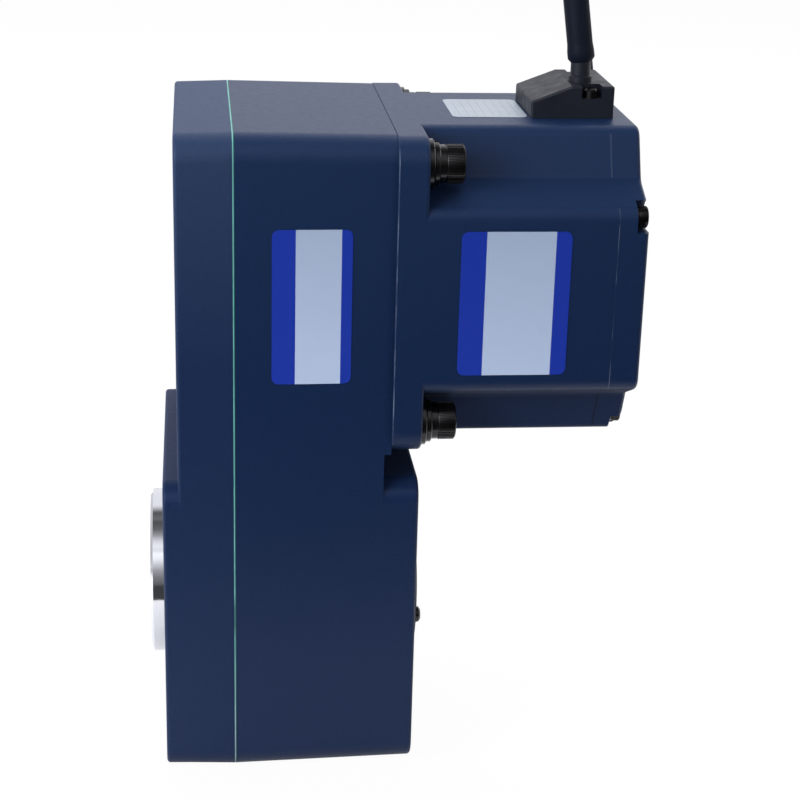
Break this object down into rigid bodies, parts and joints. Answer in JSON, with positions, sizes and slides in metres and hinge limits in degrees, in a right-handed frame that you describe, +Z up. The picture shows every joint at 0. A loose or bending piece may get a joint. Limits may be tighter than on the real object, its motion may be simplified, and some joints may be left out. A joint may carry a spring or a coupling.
{
  "type": "brushless gear motor",
  "caption": "Flange-mounted brushless motor with notched corners on a tall parallel-shaft gear case; turns a hollow keyed output shaft through a spur gear train.",
  "frame": {"origin": "on the axis of the output bore, in the plane of the front mounting pad, at the centre of the four mounting holes", "axes": "+X along the output bore from the mounting pad towards the motor, +Z up from the output bore towards the motor axis"},
  "size_m": [0.1848, 0.1553, 0.3076],
  "materials": {
    "navy_paint": "satin",
    "gasket_green": "satin",
    "black_steel": "black oxide",
    "bright_steel": "turned",
    "bearing_steel": "ground",
    "gear_steel": "machined",
    "seal_rubber": "matte",
    "lamination": "stacked sheet",
    "magnet": "nickel plated",
    "copper": "enamelled wire",
    "board_green": "gloss",
    "black_plastic": "fine grain",
    "lead_sleeve": "satin",
    "nylon": "matte"
  },
  "bodies": {
    "housing": {"front_cover": "navy_paint", "rear_case": "navy_paint", "case_gasket": "gasket_green", "case_screws": "black_steel", "dowel_pins": "bright_steel", "spigot_ring": "bright_steel", "front_oil_seal": "seal_rubber", "rear_oil_seal": "seal_rubber", "pinion_oil_seal": "seal_rubber", "output_bearing_outers": "bearing_steel", "shaft_bearing_outers": "bearing_steel", "motor_bearing_outers": "bearing_steel", "stator_core": "lamination", "stator_windings": "copper", "hall_board": "board_green", "wave_washer": "bright_steel", "motor_o_ring": "seal_rubber", "motor_housing": "navy_paint", "motor_end_cap": "navy_paint", "end_cap_screws": "black_steel", "motor_mount_screws": "black_steel", "spring_washers": "black_steel", "flat_washers": "black_steel", "rear_bore_cover": "black_plastic", "bore_cover_screws": "black_steel", "cable_outlet_block": "black_plastic", "outlet_screws": "black_steel", "cable_strain_relief": "black_plastic", "motor_cable": "lead_sleeve", "cable_connector": "nylon"},
    "output": {"hollow_shaft": "bright_steel", "output_gear": "gear_steel", "output_key": "gear_steel", "output_retaining_rings": "black_steel", "output_bearing_inners": "bearing_steel"},
    "second_stage": {"second_shaft": "gear_steel", "second_gear": "gear_steel", "second_bearing_inners": "bearing_steel"},
    "first_stage": {"first_shaft": "gear_steel", "first_gear": "gear_steel", "first_bearing_inners": "bearing_steel"},
    "rotor": {"rotor_shaft": "gear_steel", "rotor_core": "lamination", "rotor_magnets": "magnet", "rotor_bearing_inners": "bearing_steel"}
  },
  "joints": [
    {"name": "output_turn", "type": "hinge", "parent": "housing", "child": "output", "pos_m": [0, 0, 0], "axis": [1, 0, 0], "continuous": true},
    {"name": "second_turn", "type": "hinge", "parent": "housing", "child": "second_stage", "pos_m": [0, -0.014, 0.0506], "axis": [1, 0, 0], "continuous": true},
    {"name": "first_turn", "type": "hinge", "parent": "housing", "child": "first_stage", "pos_m": [0, 0.00391, 0.08355], "axis": [1, 0, 0], "continuous": true},
    {"name": "rotor_turn", "type": "hinge", "parent": "housing", "child": "rotor", "pos_m": [0, 0, 0.1145], "axis": [1, 0, 0], "continuous": true}
  ],
  "couplings": [
    {"joint": "second_turn", "follows": "output_turn", "ratio": -2},
    {"joint": "first_turn", "follows": "output_turn", "ratio": 6},
    {"joint": "rotor_turn", "follows": "output_turn", "ratio": -30}
  ]
}
